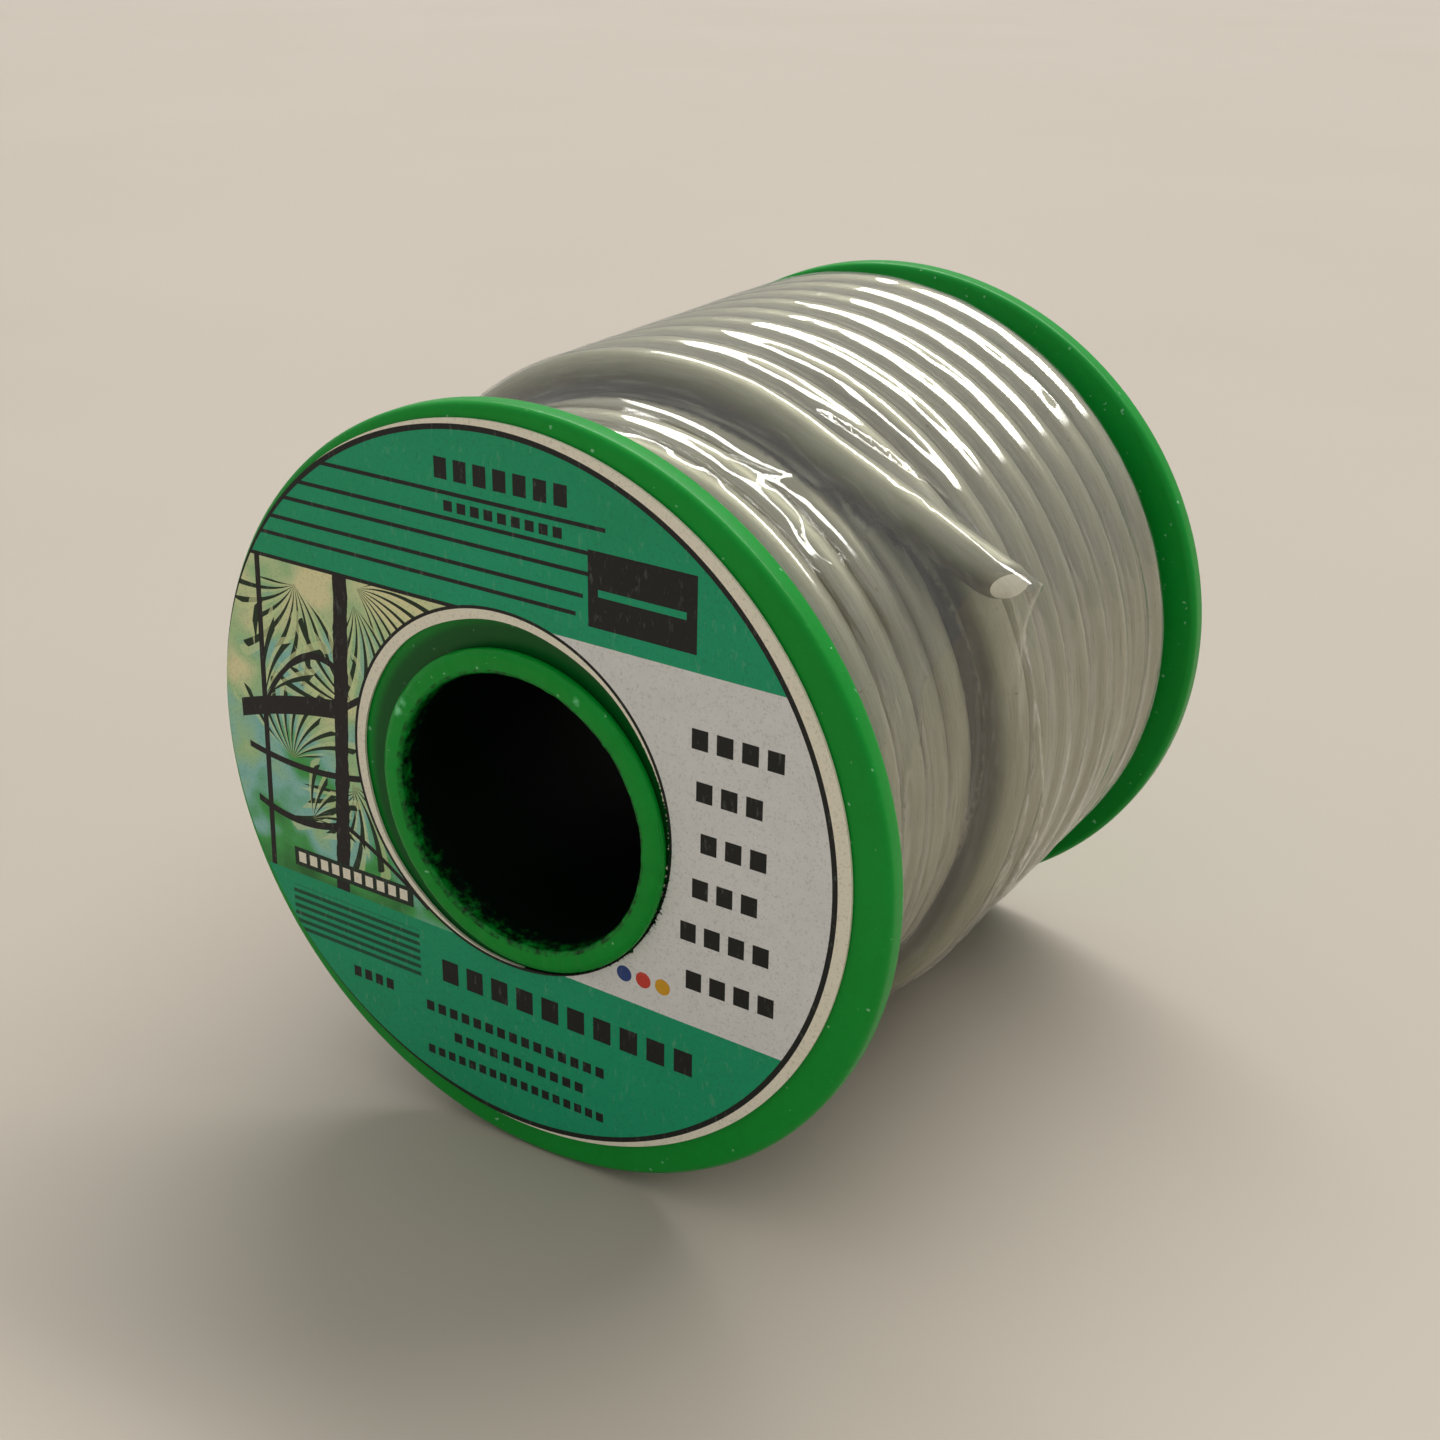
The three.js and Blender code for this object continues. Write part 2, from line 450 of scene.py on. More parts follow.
def add_wire():
    revolutions, path = wire_path()
    straight_end = 3
    kept = len(path) - straight_end
    radii = np.full(len(path), wire_radius)
    rings, tangent = tube_mesh(path, radii, wire_sides)
    forward = tangent[-1]
    end = path[-1]
    # an oblique cut: the front side is cut back, and the cutters pinch the rim of the face
    aside = np.array([0.0, -1.0, 0.0]) - forward * -forward[1]
    aside /= np.linalg.norm(aside)
    cut_slope = 0.85
    cut_rings = []
    for reach, size in ((-0.9, 1.0), (-0.35, 0.93), (0.0, 0.74)):
        ring = (rings[-1] - end) * size
        back = cut_slope * (ring @ aside + wire_radius)
        cut_rings.append(end + ring + forward * (reach * MM - back)[:, None])
    rings = np.concatenate([rings[:kept], np.array(cut_rings)], axis=0)
    count, sides, _ = rings.shape
    vertices = list(rings.reshape(-1, 3))
    faces = grid_faces(count, sides, False, True)
    for row, flip in ((0, False), (count - 1, True)):
        middle = len(vertices)
        vertices.append(rings[row].mean(axis=0))
        for side in range(sides):
            face = (row * sides + side, middle, row * sides + (side + 1) % sides)
            faces.append(face[::-1] if flip else face)
    nodes = ("solder_winding", "solder_tail")
    piece = add_mesh("solder_wire", vertices, faces, solder_material(), nodes)
    piece.data.set_sharp_from_angle(angle=math.radians(50))
    # the painted shade along the step, kept as a point attribute
    step_shade = piece.data.attributes.new("step_painted_shade", "FLOAT", "POINT")
    values = np.zeros(len(vertices))
    values[:kept * sides] = step_painted_shade(revolutions[:kept], rings[:kept, :, 1]).ravel()
    step_shade.data.foreach_set("value", values)
    lengths = np.append(0, np.cumsum(np.linalg.norm(np.diff(path, axis=0), axis=1)))
    uv = piece.data.uv_layers.new(name="along")
    for polygon in piece.data.polygons:
        for loop in polygon.loop_indices:
            row, side = divmod(piece.data.loops[loop].vertex_index, sides)
            if len(polygon.vertices) == 4:
                uv.data[loop].uv = (lengths[row] * 100, abs(side * 2 / sides - 1))
            else:
                uv.data[loop].uv = (0, 2)


# ---------------------------------------------------------------- the clear film

film_columns = 336
film_rows = 148
film_thickness = 0.06 * MM
hoop_pull = 8.5
film_sweeps = 1600
film_mean_radius = 28 * MM
film_floor_radius = 23.2 * MM
film_edge_radii = (24.0 * MM, 24.5 * MM)
covered_from_revolution = 38
mm_per_degree = 0.49


def film_support(angles, rows):
    """The radius that the wire under the film reaches at each angle and y."""
    support = np.full((len(angles), len(rows)), film_floor_radius)
    reach = wire_radius + film_thickness
    last = tail_revolution + tail_sweep / (2 * np.pi)
    for column, angle in enumerate(angles):
        first = (math.radians(start_angle) - angle) / (2 * math.pi)
        revolutions = first + np.arange(covered_from_revolution - 2, math.ceil(last) + 3)
        revolutions = revolutions[(revolutions > covered_from_revolution) & (revolutions <= last)]
        _, centre_y, radius = wire_place(revolutions)
        across = rows[None, :] - centre_y[:, None]
        height = np.sqrt(np.clip(reach ** 2 - across ** 2, 0, None))
        crest = np.where(np.abs(across) < reach, radius[:, None] + height, 0)
        support[column] = np.maximum(support[column], crest.max(axis=0))
    return support


def relaxed_film(support, rows):
    """A stretched film over its support: it pulls inward round the spool and spans from crest to crest."""
    film = support.copy()
    step_angle = 2 * math.pi / len(support)
    along = (rows[1] - rows[0]) ** 2
    around = (step_angle * film_mean_radius) ** 2
    hoop = hoop_pull / around
    axial = 1 / along
    for _ in range(film_sweeps):
        before = np.roll(film, 1, axis=0)
        after = np.roll(film, -1, axis=0)
        chord = 2 * before * after * math.cos(step_angle) / (before + after)
        across = film.copy()
        across[:, 1:-1] = (film[:, :-2] + film[:, 2:]) / 2
        film = np.maximum(support, (hoop * chord + axial * across) / (hoop + axial))
        film[:, 0] = np.maximum(support[:, 0], film_edge_radii[0])
        film[:, -1] = np.maximum(support[:, -1], film_edge_radii[1])
    return film


def wrinkle(angles, rows, start, turn, lean, size, width, length):
    """A long low fold that starts at (degrees, mm) and runs round the spool, leaning sideways."""
    degrees = np.degrees(angles)
    run = (start[0] - degrees) % 360
    along = np.clip(run / length, 0, 1)
    centre = (start[1] + lean * along + turn * along ** 2) * MM
    fade = np.sin(np.pi * np.clip(along, 0, 1)) ** 0.6 * (run < length)
    profile = np.exp(-((rows[None, :] - centre[:, None]) / (width * MM)) ** 2)
    return size * MM * fade[:, None] * profile


def ridge(angles, rows, route, size, width):
    """A low fold along a given route of (degrees, mm) points."""
    degrees = (np.degrees(angles) + 180) % 360 - 180
    grid_a, grid_y = np.meshgrid(degrees * mm_per_degree, rows / MM, indexing="ij")
    nearest = np.full(grid_a.shape, np.inf)
    points = [(degree * mm_per_degree, y) for degree, y in route]
    for (a_0, y_0), (a_1, y_1) in zip(points, points[1:]):
        d_a = a_1 - a_0
        d_y = y_1 - y_0
        share = np.clip(((grid_a - a_0) * d_a + (grid_y - y_0) * d_y) / (d_a ** 2 + d_y ** 2), 0, 1)
        away = np.hypot(grid_a - a_0 - share * d_a, grid_y - y_0 - share * d_y)
        nearest = np.minimum(nearest, away)
    return size * MM * np.exp(-(nearest / width) ** 2)


# folds along listed routes: (height and half width in mm, then the route as degrees round the spool and mm
# along it)
loose_folds = [
    (0.24, 0.44, [(68, -15.6), (62, -13.8), (54, -11.0), (46, -8.6), (44, -9.4), (48, -12.2)]),
    (0.20, 0.40, [(60, -15.2), (55, -15.4), (50, -16.6), (45, -15.8)]),
    (0.36, 0.34, [(66, -7.4), (58, -6.6), (50, -5.6), (42, -4.6), (35, -3.9), (31, -4.2), (28, -5.4)]),
    (0.30, 0.30, [(28, -5.2), (18, -3.6), (5, -3.9), (-10, -4.6), (-24, -6.4)]),
    (0.30, 0.30, [(27, -9.8), (22, -13.2), (10, -17.6), (-6, -21.6)]),
    (0.22, 0.34, [(86, -17.8), (78, -18.4), (72, -17.6), (66, -18.6)]),
    (0.20, 0.34, [(80, -21.6), (74, -22.4), (68, -21.8), (62, -22.8), (57, -22.0)]),
    (0.20, 0.34, [(70, -24.0), (64, -23.2), (58, -23.9), (52, -23.0)]),
    (0.18, 0.36, [(66, 19.8), (58, 18.4), (50, 18.0), (42, 18.6)]),
]


def film_folds(angles, rows):
    """The fan of creases below the wire's end, the loose folds over the step, and a fine random crinkle."""
    folds = np.zeros((len(angles), len(rows)))
    for spread in np.linspace(-3.5, 9.0, 11):
        start = (29 - rng.uniform(0, 8), -7.0 + 0.3 * spread)
        folds += wrinkle(angles, rows, start, rng.uniform(-1, 1), spread, rng.uniform(0.14, 0.30), 0.27,
                         rng.uniform(60, 110))
    for _ in range(90):
        start = (rng.uniform(-50, 32), rng.uniform(-24, 24))
        folds += wrinkle(angles, rows, start, rng.uniform(-0.7, 0.7), rng.uniform(-0.9, 0.9),
                         rng.uniform(0.07, 0.17), 0.26, rng.uniform(30, 80))
    for _ in range(70):
        start = (rng.uniform(30, 300), rng.uniform(-24, 24))
        folds += wrinkle(angles, rows, start, rng.uniform(-0.6, 0.6), rng.uniform(-0.6, 0.6),
                         rng.uniform(0.02, 0.07), 0.3, rng.uniform(15, 60))
    for height, half_width, route in loose_folds:
        folds += ridge(angles, rows, route, height, half_width)
    crinkle = rng.normal(size=(len(angles) // 4, len(rows) // 2))
    crinkle = np.repeat(np.repeat(crinkle, 4, axis=0), 2, axis=1)
    for _ in range(4):
        crinkle = (crinkle + np.roll(crinkle, 1, 0) + np.roll(crinkle, -1, 0)
                   + np.roll(crinkle, 1, 1) + np.roll(crinkle, -1, 1)) / 5
    return folds + 0.035 * MM * np.abs(crinkle)


def film_material():
    shader = Shader("clear_film")
    place = shader.add("ShaderNodeTexCoord").outputs["Object"]
    haze = shader.noise(shader.scaled(place, (260, 900, 260)), 1.0, 4, 0.65)
    scratch = shader.noise(shader.scaled(place, (300, 3600, 300)), 1.0, 3, 0.6)
    shader.set(Base_Color=linear(226, 226, 214), Roughness=0.35)
    shader.bump(haze, 0.08, 0.00004)
    clear = shader.add("ShaderNodeBsdfTransparent", Color=(0.97, 0.97, 0.95)).outputs[0]
    gloss = shader.add("ShaderNodeBsdfGlossy", {"distribution": "GGX"}, Color=(1, 1, 1), Roughness=0.04)
    shader.put(gloss.inputs["Normal"], shader.surface.inputs["Normal"].links[0].from_socket)
    milky = shader.add("ShaderNodeMixShader")
    amount = shader.math("MULTIPLY_ADD", shader.smooth(scratch, 0.45, 0.8), 0.08, 0.018)
    shader.put(milky.inputs[0], amount)
    shader.put(milky.inputs[1], clear)
    shader.put(milky.inputs[2], shader.surface.outputs[0])
    facing = shader.add("ShaderNodeLayerWeight", Blend=0.5).outputs["Facing"]
    glint = shader.math("MULTIPLY_ADD", shader.math("POWER", facing, 5.0), 0.6, 0.055)
    film = shader.add("ShaderNodeMixShader")
    shader.put(film.inputs[0], glint)
    shader.put(film.inputs[1], milky.outputs[0])
    shader.put(film.inputs[2], gloss.outputs[0])
    shader.put(shader.output.inputs[0], film.outputs[0])
    return shader.material


def add_film():
    angles = np.linspace(0, 2 * np.pi, film_columns, endpoint=False)
    rows = np.linspace(-film_edge_y, film_edge_y, film_rows)
    support = film_support(angles, rows)
    inner = relaxed_film(support, rows) + film_folds(angles, rows)
    inner = np.maximum(inner, support)
    cosine = np.cos(angles)[:, None]
    sine = np.sin(angles)[:, None]
    layers = []
    for radius in (inner, inner + film_thickness):
        along = np.broadcast_to(rows, radius.shape)
        points = np.stack([radius * cosine, along, axis_height + radius * sine], axis=2)
        layers.append(points.reshape(-1, 3))
    vertices = np.concatenate(layers)
    offset = film_columns * film_rows
    faces = grid_faces(film_columns, film_rows, True, False, flip=True)
    faces += [tuple(offset + index for index in face[::-1]) for face in faces]
    for column in range(film_columns):
        beside = (column + 1) % film_columns
        low = column * film_rows
        low_beside = beside * film_rows
        high = low + film_rows - 1
        high_beside = low_beside + film_rows - 1
        faces.append((low, low_beside, low_beside + offset, low + offset))
        faces.append((high_beside, high, high + offset, high_beside + offset))
    piece = add_mesh("film_wrap_clear", vertices, faces, film_material(), ("film_wrap",))


# ---------------------------------------------------------------- the moulded spool

def plastic_material(name, in_bore=False):
    shader = Shader(name)
    place = shader.add("ShaderNodeTexCoord").outputs["Object"]
    flow = shader.noise(shader.scaled(place, (60, 25, 60)), 1.0, 3, 0.6)
    grain = shader.noise(place, 1500, 4, 0.7)
    speck = shader.smooth(shader.noise(place, 1900, 1, 0.5), 0.74, 0.79)
    scuff = shader.smooth(shader.noise(shader.scaled(place, (900, 300, 3200)), 1.0, 4, 0.7), 0.64, 0.8)
    base = shader.mix(flow, linear(0, 136, 34), linear(0, 164, 58))
    mottled = shader.mix(shader.math("MULTIPLY", grain, 0.3), base, linear(0, 100, 22))
    worn = shader.mix(shader.math("MULTIPLY", scuff, 0.35), mottled, linear(92, 190, 128))
    colour = shader.mix(shader.math("MULTIPLY", speck, 0.55), worn, linear(160, 220, 180))
    radius = axis_distance(shader, place)
    if in_bore:
        # painted shade: the wall deep in the bore darkens to near black
        colour = shader.mix(bore_shade(shader, place, radius), colour, linear(3, 16, 7))
        for across, up, size in ((-10.2, 5.6, 0.5), (-9.7, 6.3, 0.35), (5.6, 9.9, 0.3)):
            mark = shader.add("ShaderNodeVectorMath", {"operation": "DISTANCE"})
            shader.put(mark.inputs[0], place)
            mark.inputs[1].default_value = (across * MM, -lip_y, axis_height + up * MM)
            frost = shader.math("MULTIPLY_ADD", grain, 0.9 * MM, mark.outputs["Value"])
            frosted = shader.smooth(frost, (size + 0.6) * MM, size * MM)
            colour = shader.mix(frosted, colour, linear(120, 214, 150))
    else:
        # painted shade: a darker ring on the flange face round the hub, inside the label's hole
        hub_ring_shade = shader.smooth(radius, label_hole_radius + 1.2 * MM, label_hole_radius)
        colour = shader.mix(shader.math("MULTIPLY", hub_ring_shade, 0.75), colour, linear(0, 48, 20))
    shader.set(Base_Color=colour, IOR=1.46, Specular_IOR_Level=0.25)
    shader.set(Roughness=shader.math("MULTIPLY_ADD", grain, 0.22, 0.26))
    shader.bump(shader.math("MULTIPLY_ADD", scuff, -0.5, grain), 0.12, 0.00008)
    return shader.material


def axis_distance(shader, place):
    parts = shader.add("ShaderNodeSeparateXYZ", Vector=place)
    height = shader.math("SUBTRACT", parts.outputs[2], axis_height)
    across = parts.outputs[0]
    across_squared = shader.math("MULTIPLY", across, across)
    return shader.math("SQRT", shader.math("MULTIPLY_ADD", height, height, across_squared))


def bore_shade(shader, place, radius):
    """Painted shade: 1 deep in the bore, 0 on the lips, with a speckled edge between."""
    inside = shader.math("LESS_THAN", radius, bore_radius + bore_rounding)
    along = shader.add("ShaderNodeSeparateXYZ", Vector=place).outputs[1]
    depth = shader.math("SUBTRACT", lip_y, shader.math("ABSOLUTE", along))
    speckle = shader.math("MULTIPLY_ADD", shader.noise(place, 1300, 3, 0.7), 6 * MM, depth)
    return shader.math("MULTIPLY", inside, shader.smooth(speckle, 2.2 * MM, 4.6 * MM))


def flange_outline(outer_y, inner, side):
    """A disc from its hole to its rounded rim, where side is -1 for the front and +1 for the rear."""
    hole = spigot_radius + gap
    rim = flange_radius
    outline = [(hole, inner), (hub_radius + 1.5 * MM, inner), (rim - rim_rounding - 6 * MM, inner)]
    outline += arc(rim - rim_rounding, inner + side * rim_rounding, rim_rounding, -90 * side, 0, 6)
    outline += arc(rim - rim_rounding, outer_y - side * rim_rounding, rim_rounding, 0, 90 * side, 6)
    outline += [(rim - rim_rounding - 6 * MM, outer_y), (hub_radius + 1.5 * MM, outer_y), (hole, outer_y)]
    return outline


def add_flanges(material):
    for name, side in (("front_flange", -1), ("rear_flange", 1)):
        outline = flange_outline(side * face_y, side * inner_y, side)
        if side < 0:
            outline = outline[::-1]
        turned(name + "_disc", outline[::-1], material, (name,))


def lip_shape(angle, radius, y):
    """The lip is staked over by hand heat, so its crown is a little uneven."""
    crown = abs(y) > lip_y - bore_rounding
    uneven = 0.05 * math.sin(7 * angle + 0.4) + 0.04 * math.sin(17 * angle) + 0.03 * math.sin(31 * angle + 2)
    if crown:
        y -= math.copysign((0.06 + abs(uneven)) * MM, y)
    return radius, y


def hub_end(side):
    """One end of the hub: shoulder, spigot through the flange, and the rolled lip, out to the bore."""
    lip_base = face_y + gap
    outline = [(hub_radius, side * (inner_y - gap))]
    outline += [(spigot_radius, side * (inner_y - gap)), (spigot_radius, side * lip_base)]
    outline += [(lip_radius - 0.1 * MM, side * lip_base)]
    outline += arc(lip_radius - lip_rounding, side * (lip_y - lip_rounding), lip_rounding, 0, 90 * side, 8)
    bore_edge = bore_radius + bore_rounding
    outline += arc(bore_edge, side * (lip_y - bore_rounding), bore_rounding, 90 * side, 180 * side, 6)
    outline += [(bore_radius, side * (lip_y - 4 * MM)), (bore_radius, side * (lip_y - 12 * MM))]
    return outline


def add_hub():
    outline = hub_end(-1)[::-1] + hub_end(1)
    turned("hub_moulding", outline, plastic_material("green_hub", True), ("hub_tube",),
           shape=lip_shape)


# ---------------------------------------------------------------- the printed label

class Print:
    """Printed shapes on the label, in millimetres from its centre: u to the right and v up."""

    def __init__(self, shader):
        self.shader = shader
        place = shader.add("ShaderNodeTexCoord").outputs["Object"]
        parts = shader.add("ShaderNodeSeparateXYZ", Vector=place)
        across = shader.math("MULTIPLY_ADD", parts.outputs[0], 1000, -label_centre.x * 1000)
        up = shader.math("MULTIPLY_ADD", parts.outputs[2], 1000, -label_centre.z * 1000)
        tilt = math.radians(1.3)
        self.u = shader.math("SUBTRACT", shader.math("MULTIPLY", across, math.cos(tilt)),
                             shader.math("MULTIPLY", up, math.sin(tilt)))
        self.v = shader.math("ADD", shader.math("MULTIPLY", across, math.sin(tilt)),
                             shader.math("MULTIPLY", up, math.cos(tilt)))
        self.place = place

    def distance(self, u, v):
        across = self.shader.math("SUBTRACT", self.u, u)
        up = self.shader.math("SUBTRACT", self.v, v)
        return self.shader.math("SQRT", self.shader.math("MULTIPLY_ADD", across, across,
                                                         self.shader.math("MULTIPLY", up, up)))

    def box(self, left, right, low, high):
        shader = self.shader
        return shader.math("MULTIPLY", shader.between(self.u, left, right), shader.between(self.v, low, high))

    def any_of(self, masks):
        total = masks[0]
        for mask in masks[1:]:
            total = self.shader.math("MAXIMUM", total, mask)
        return total

    def all_of(self, masks):
        total = masks[0]
        for mask in masks[1:]:
            total = self.shader.math("MULTIPLY", total, mask)
        return total

    def blocks(self, left, count, middle, height, pitch):
        """A line of plain blocks that stands for a line of writing."""
        shader = self.shader
        right = left + count * pitch
        phase = shader.math("FRACT", shader.math("DIVIDE", shader.math("SUBTRACT", self.u, left), pitch))
        row = self.box(left, right, middle - height / 2, middle + height / 2)
        return shader.math("MULTIPLY", row, shader.math("LESS_THAN", phase, 0.66))

    def stripes(self, left, right, low, high, pitch, share):
        shader = self.shader
        phase = shader.math("FRACT", shader.math("DIVIDE", shader.math("SUBTRACT", self.v, low), pitch))
        area = self.box(left, right, low, high)
        return shader.math("MULTIPLY", area, shader.math("LESS_THAN", phase, share))

    def curve(self, left, right, start, rise, bend, middle, thick):
        """A drawn stroke of even height along a shallow parabola over u."""
        shader = self.shader
        across = shader.math("SUBTRACT", self.u, middle)
        level = shader.math("MULTIPLY_ADD", shader.math("MULTIPLY", across, across), bend,
                            shader.math("MULTIPLY_ADD", across, rise, start))
        near = shader.math("ABSOLUTE", shader.math("SUBTRACT", self.v, level))
        reach = shader.between(self.u, left, right)
        return shader.math("MULTIPLY", reach, shader.math("LESS_THAN", near, thick))

    def fan(self, u, v, reach, blades, turn, spread, share):
        """A spray of thin blades that leave one point, over part of a circle."""
        shader = self.shader
        across = shader.math("SUBTRACT", self.u, u)
        up = shader.math("SUBTRACT", self.v, v)
        cos_turn = math.cos(turn)
        sin_turn = math.sin(turn)
        ahead = shader.math("MULTIPLY_ADD", across, cos_turn, shader.math("MULTIPLY", up, sin_turn))
        aside = shader.math("MULTIPLY_ADD", up, cos_turn, shader.math("MULTIPLY", across, -sin_turn))
        angle = shader.math("ARCTAN2", aside, ahead)
        far = self.distance(u, v)
        curved = shader.math("MULTIPLY_ADD", far, 0.05, angle)
        wave = shader.math("COSINE", shader.math("MULTIPLY", curved, blades))
        blade = shader.math("GREATER_THAN", wave, share)
        inside = shader.between(angle, -spread, spread)
        slow_wave = shader.math("COSINE", shader.math("MULTIPLY", curved, blades * 0.37))
        ragged = shader.math("MULTIPLY_ADD", slow_wave, reach * 0.18, reach * 0.82)
        return self.all_of([blade, inside, shader.math("LESS_THAN", far, ragged)])


def reed_picture(ink):
    """Plain reeds and grasses of no real place: washes of cream, green and blue with dark stems over them."""
    shader = ink.shader
    wash = shader.noise(ink.place, 210, 2, 0.5)
    height = shader.math("MULTIPLY_ADD", ink.v, 0.028, 0.42)
    tone = shader.math("ADD", shader.math("MULTIPLY", wash, 0.75), shader.math("MULTIPLY", height, 0.5))
    colour = shader.ramp(tone, [
        (0.30, linear(40, 110, 50)), (0.44, linear(70, 168, 84)), (0.54, linear(140, 200, 190)),
        (0.66, linear(168, 206, 150)), (0.80, linear(232, 226, 176)),
    ])
    for u, v, reach, blades, turn, spread in (
        (-13.2, 12.8, 8.5, 30, -20, 0.8), (-13.6, 11.5, 8.0, 26, -80, 0.7), (-19.2, 11.8, 8.0, 24, -110, 1.2),
        (-20.6, -2.4, 7.0, 26, 80, 1.1), (-14.2, 3.4, 7.5, 24, 150, 0.8), (-23.0, 2.0, 8.0, 22, 62, 0.6),
        (-14.4, -3.4, 7.5, 22, -125, 0.8), (-14.8, -3.0, 7.0, 20, -50, 0.7), (-19.0, -7.0, 5.0, 20, 40, 0.9),
    ):
        turn = math.radians(turn)
        pale = ink.fan(u, v, reach * 1.1, blades, turn + 0.06, spread, 0.1)
        colour = shader.mix(shader.math("MULTIPLY", pale, 0.6), colour, linear(214, 226, 168))
        dark = ink.fan(u, v, reach, blades, turn, spread, 0.55)
        colour = shader.mix(dark, colour, linear(20, 46, 22))
    stem_wave = shader.math("MULTIPLY_ADD", shader.noise(ink.place, 500, 2, 0.6), 0.5, -0.25)
    lean = shader.math("ADD", shader.math("MULTIPLY_ADD", ink.v, -0.062, ink.u), stem_wave)
    stem = shader.between(lean, -16.25, -14.95)
    thin_stem = shader.between(shader.math("MULTIPLY_ADD", ink.v, -0.03, ink.u), -23.35, -22.85)
    branches = [
        ink.curve(-25.5, -16, 1.9, 0.24, -0.012, -21, 0.75),
        ink.curve(-25.0, -9, -2.9, 0.02, 0.02, -19, 0.26),
        ink.curve(-24.5, -15.5, -7.6, 0.02, 0.05, -20, 0.3),
        ink.curve(-15.5, -7.5, 3.2, 0.75, -0.05, -15, 0.3),
        ink.curve(-23.5, -15.5, 6.4, 0.35, -0.16, -18.5, 0.28),
        ink.curve(-15.5, -8.0, -8.0, -0.55, -0.02, -13, 0.22),
    ]
    strokes = ink.any_of([stem, thin_stem] + branches)
    return shader.mix(strokes, colour, linear(22, 18, 20))


def label_colour(ink):
    """The whole print: bands, rules, plain blocks for writing, the picture and the pale field."""
    shader = ink.shader
    teal = shader.mix(shader.noise(ink.place, 90, 2, 0.5), linear(0, 148, 98), linear(0, 164, 118))
    field = shader.mix(shader.noise(ink.place, 700, 3, 0.7), linear(214, 214, 212), linear(232, 232, 230))
    cream = linear(238, 232, 212)
    black = linear(16, 18, 16)
    dark_green = linear(0, 74, 48)

    colour = shader.mix(shader.math("LESS_THAN", ink.u, -1.0), field, reed_picture(ink))
    top_band = shader.math("GREATER_THAN", ink.v, 13.5)
    bottom_edge = shader.math("MULTIPLY_ADD", ink.u, 0.014, ink.v)
    bottom_band = shader.math("LESS_THAN", bottom_edge, -12.6)
    colour = shader.mix(ink.any_of([top_band, bottom_band]), colour, teal)

    rules = [ink.box(-27, right, level - 0.15, level + 0.15) for level, right in (
        (21.5, 8.2), (19.72, 7.6), (18.3, 7.0), (16.7, 6.4), (15.35, 5.8),
    )]
    rules.append(ink.box(-27, 2.5, 13.36, 13.66))
    writing = [
        ink.blocks(-5.7, 7, 23.15, 1.5, 1.64),
        ink.blocks(-5.0, 9, 20.6, 0.75, 1.13),
        ink.blocks(-6.9, 10, -16.1, 1.9, 2.3),
        ink.blocks(-15.8, 4, -19.2, 0.9, 1.08),
        ink.blocks(-8.6, 15, -19.7, 0.85, 1.12),
        ink.blocks(-6.0, 11, -21.7, 0.8, 1.12),
        ink.blocks(-8.6, 17, -23.6, 0.75, 0.98),
    ]
    for left, count, middle in (
        (14.9, 4, 8.9), (15.3, 3, 5.2), (15.7, 3, 1.5), (15.1, 3, -2.0), (14.2, 4, -5.5), (14.7, 4, -9.2),
    ):
        writing.append(ink.blocks(left, count, middle, 1.45, 1.9))
    panel = ink.all_of([
        ink.box(6.8, 15.2, 14.7, 20.0),
        shader.math("SUBTRACT", 1.0, ink.box(7.6, 14.4, 16.9, 17.4)),
    ])
    colour = shader.mix(ink.any_of(rules + writing + [panel]), colour, black)

    stripes = ink.stripes(-21.6, -9.0, -17.4, -13.4, 0.66, 0.5)
    colour = shader.mix(stripes, colour, dark_green)
    strip = ink.blocks(-20.8, 10, -10.8, 0.9, 1.12)
    shadow = ink.box(-21.2, -9.4, -11.6, -10.0)
    colour = shader.mix(shadow, colour, linear(20, 40, 28))
    colour = shader.mix(strip, colour, cream)
    for u, v, ink_colour in ((9.6, -10.6, linear(40, 66, 130)), (11.2, -10.6, linear(206, 62, 48)),
                             (12.8, -10.6, linear(216, 160, 30))):
        colour = shader.mix(shader.math("LESS_THAN", ink.distance(u, v), 0.62), colour, ink_colour)

    from_print = ink.distance(-0.7, -0.2)
    edge_line = shader.between(from_print, 26.35, 26.75)
    outside = shader.math("GREATER_THAN", from_print, 26.75)
    from_hole = ink.distance(-0.4, 0.32)
    hole_ring = shader.math("LESS_THAN", from_hole, 13.62)
    hole_line = shader.between(from_hole, 13.62, 13.86)
    colour = shader.mix(ink.any_of([edge_line, hole_line]), colour, black)
    return shader.mix(ink.any_of([outside, hole_ring]), colour, cream)


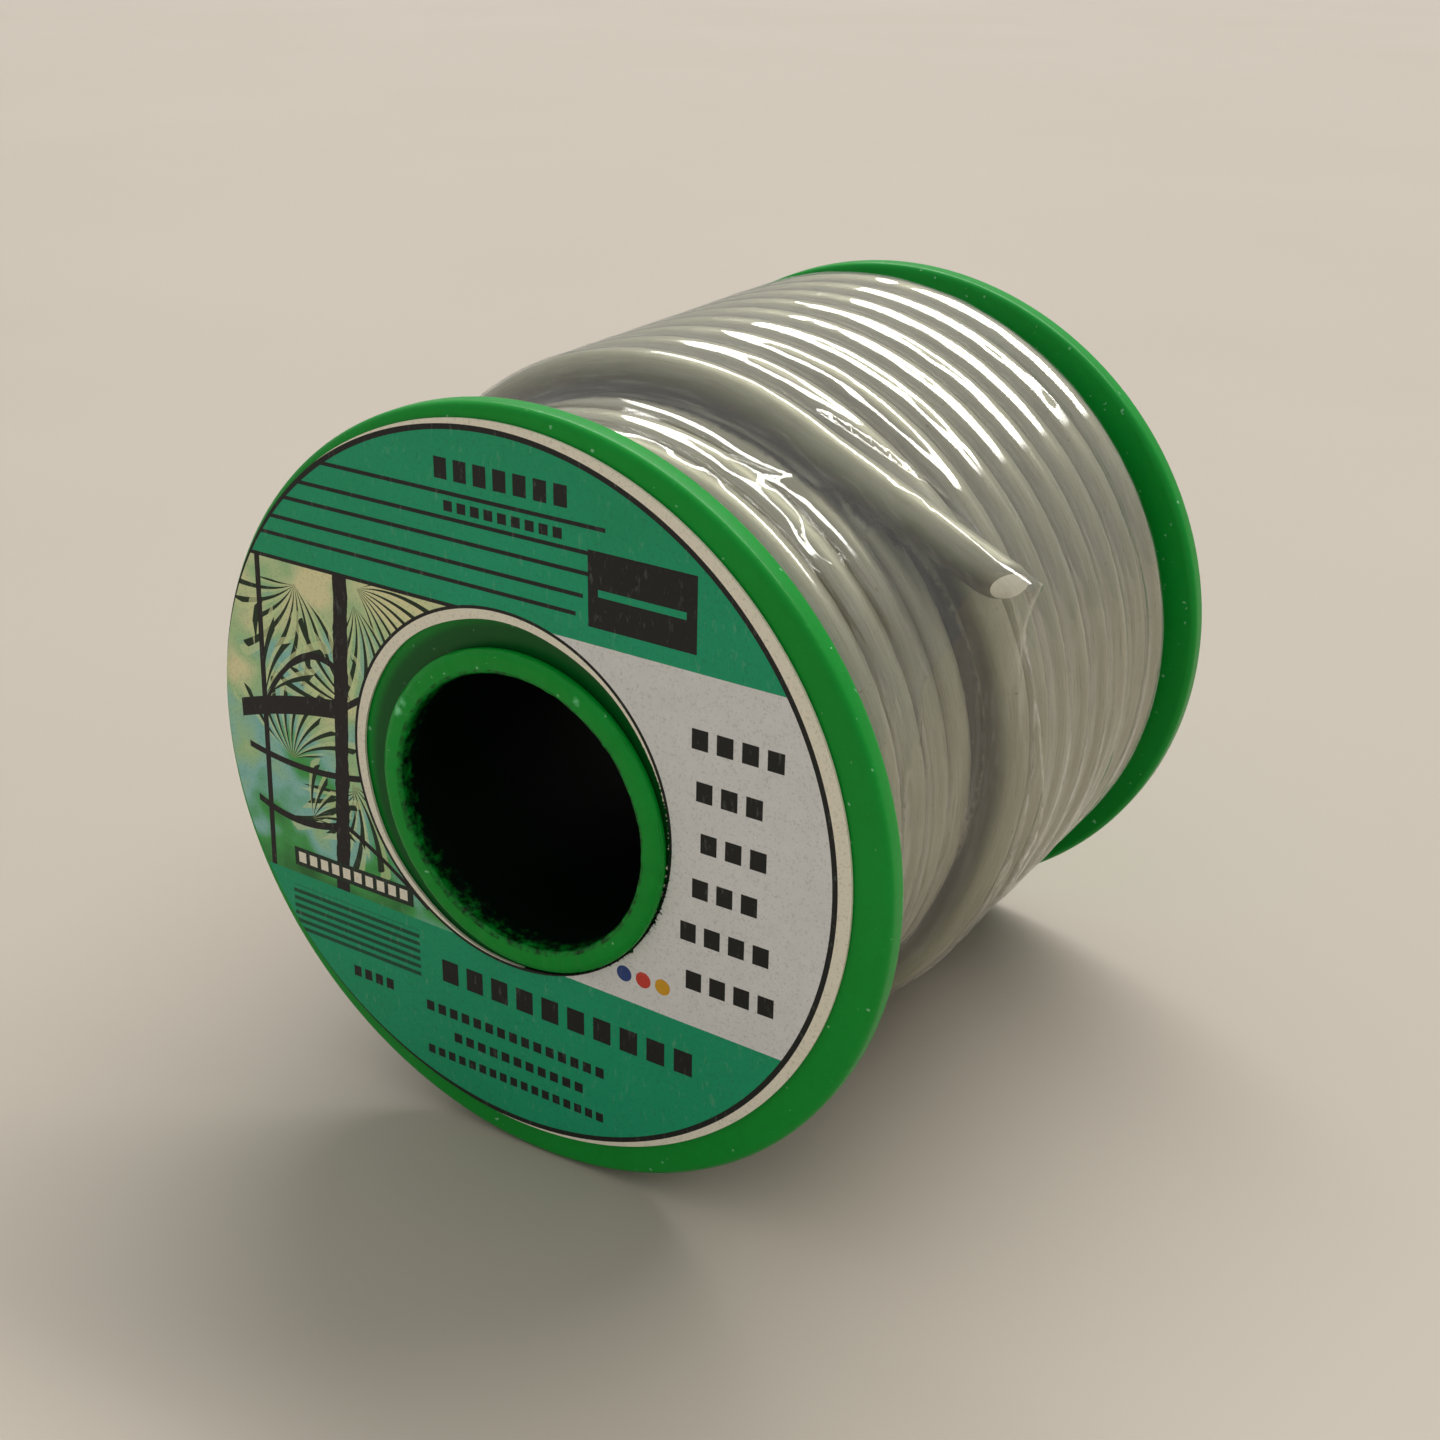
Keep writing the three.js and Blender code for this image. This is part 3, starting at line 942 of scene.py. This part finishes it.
def label_material():
    shader = Shader("label_paper")
    ink = Print(shader)
    fleck = shader.noise(ink.place, 5200, 2, 0.7)
    fibre = shader.noise(shader.scaled(ink.place, (2600, 2600, 900)), 1.0, 3, 0.65)
    printed = label_colour(ink)
    darker = shader.math("MULTIPLY", shader.smooth(fleck, 0.52, 0.72), 0.22)
    grained = shader.mix(darker, printed, linear(20, 24, 20))
    lighter = shader.math("MULTIPLY", shader.smooth(fibre, 0.56, 0.78), 0.10)
    shader.set(Base_Color=shader.mix(lighter, grained, linear(214, 220, 206)))
    shader.set(Roughness=shader.math("MULTIPLY_ADD", fibre, 0.25, 0.42), IOR=1.42)
    shader.bump(shader.math("ADD", fleck, fibre), 0.16, 0.00005)
    return shader.material


def add_label():
    """A disc of paper, very slightly wavy, with its hole torn on the right side."""
    columns = 720
    across = [0, 0.012, 0.03, 0.06, 0.12, 0.25, 0.4, 0.55, 0.7, 0.85, 0.95, 0.985, 1.0]
    frayed = rng.uniform(-1, 1, columns)
    vertices = []
    for column in range(columns):
        angle = 2 * math.pi * column / columns
        torn = max(0.0, math.cos(angle + math.radians(24))) ** 6
        hole = label_hole_radius + (0.4 * torn * frayed[column] + 0.03 * math.sin(9 * angle)) * MM
        rim = label_radius + 0.02 * MM * math.sin(5 * angle + 1)
        top = []
        for share in across:
            radius = hole + (rim - hole) * share
            lift = 0.02 * MM * math.sin(3 * angle + 9 * share) * min(1, 4 * share * (1 - share))
            top.append((radius, label_front_y - max(0, lift)))
        ring = top + [(radius, label_back_y) for radius, _ in reversed(top)]
        for radius, y in ring:
            vertices.append((label_centre.x + radius * math.cos(angle), y,
                             label_centre.z + radius * math.sin(angle)))
    faces = grid_faces(columns, 2 * len(across), True, True)
    piece = add_mesh("front_label_print", vertices, faces, label_material(), ("front_label",))
    piece.data.set_sharp_from_angle(angle=math.radians(40))


# ---------------------------------------------------------------- floor

def add_floor():
    shader = Shader("pale_floor")
    place = shader.add("ShaderNodeTexCoord").outputs["Object"]
    cloud = shader.noise(place, 9, 2, 0.5)
    shader.set(Base_Color=shader.mix(cloud, linear(178, 169, 156), linear(184, 176, 164)), Roughness=0.6)
    half = 2.5
    corners = [(-half, -half, 0), (half, -half, 0), (half, half, 0), (-half, half, 0)]
    mesh = bpy.data.meshes.new("floor")
    mesh.from_pydata(corners, [], [(0, 1, 2, 3)])
    mesh.materials.append(shader.material)
    floor = bpy.data.objects.new("floor", mesh)
    bpy.context.collection.objects.link(floor)


add_camera()
add_wire()
add_room_light()
add_floor()
add_film()
add_flanges(plastic_material("green_flange"))
add_hub()
add_label()

bpy.context.view_layer.update()
